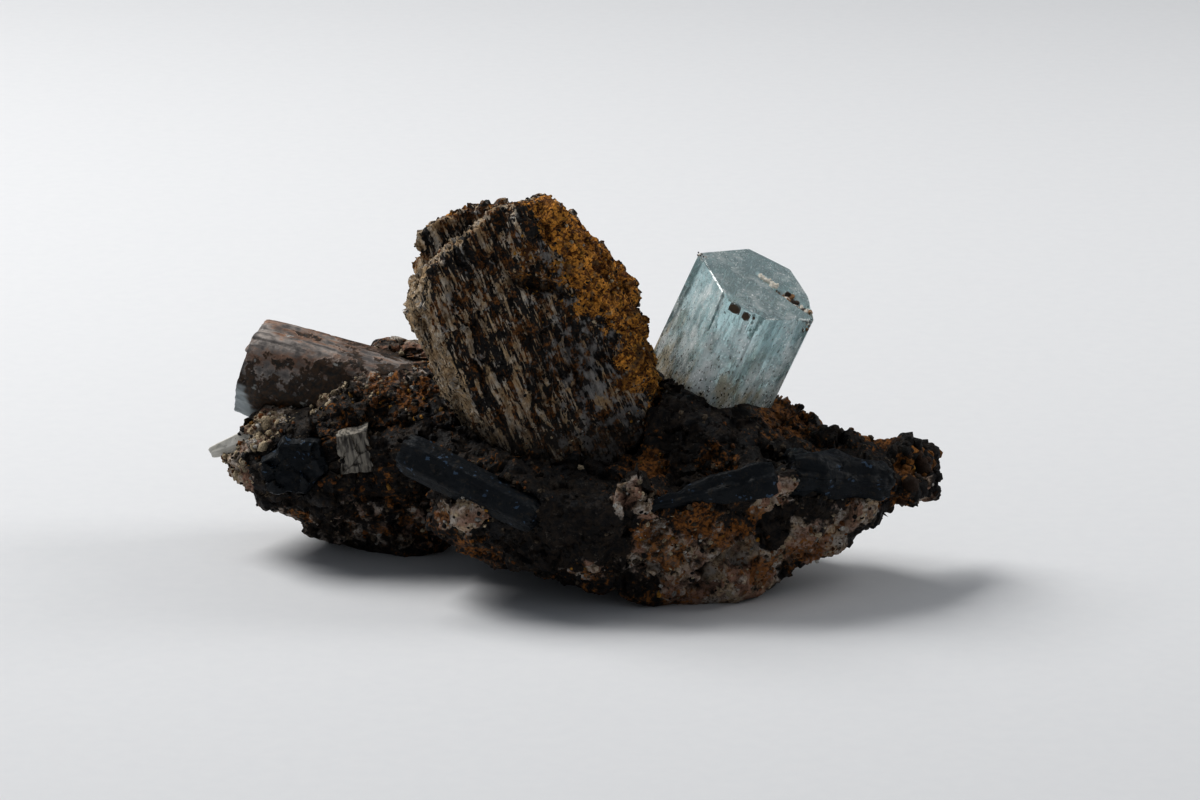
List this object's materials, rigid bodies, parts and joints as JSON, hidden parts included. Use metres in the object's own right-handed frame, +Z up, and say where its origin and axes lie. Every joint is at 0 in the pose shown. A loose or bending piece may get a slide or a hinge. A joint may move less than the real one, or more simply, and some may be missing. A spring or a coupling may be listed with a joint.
{
  "type": "aquamarine crystal specimen",
  "caption": "Clear pale blue seven-sided aquamarine stub on a loose piece of dark rusty pegmatite, with a standing streaked slab, tourmalines and a stained beryl prism.",
  "frame": {"origin": "on the flat worn sole that the specimen rests on, under its middle", "axes": "+Z up, +X along the specimen's length towards the aquamarine's end, +Y away from the side with the streaked slab's face"},
  "size_m": [0.0632, 0.0313, 0.0333],
  "materials": {
    "matrix": "weathered, rough",
    "aquamarine": "clear to milky, glossy faces",
    "streaked_slab": "weathered, streaked",
    "stained_beryl": "stained, half matt",
    "tourmaline": "black, half glossy",
    "feldspar": "matt",
    "pale_blade": "translucent white, half glossy"
  },
  "bodies": {
    "root": {"matrix_rock": "matrix", "aquamarine_crystal": "aquamarine", "standing_feldspar_slab": "streaked_slab", "stained_beryl_prism": "stained_beryl", "front_tourmaline_prism": "tourmaline", "left_tourmaline": "tourmaline", "left_feldspar_block": "feldspar", "ledge_tourmaline": "tourmaline", "right_tourmaline": "tourmaline", "tip_blade_crystal": "pale_blade"}
  },
  "joints": []
}
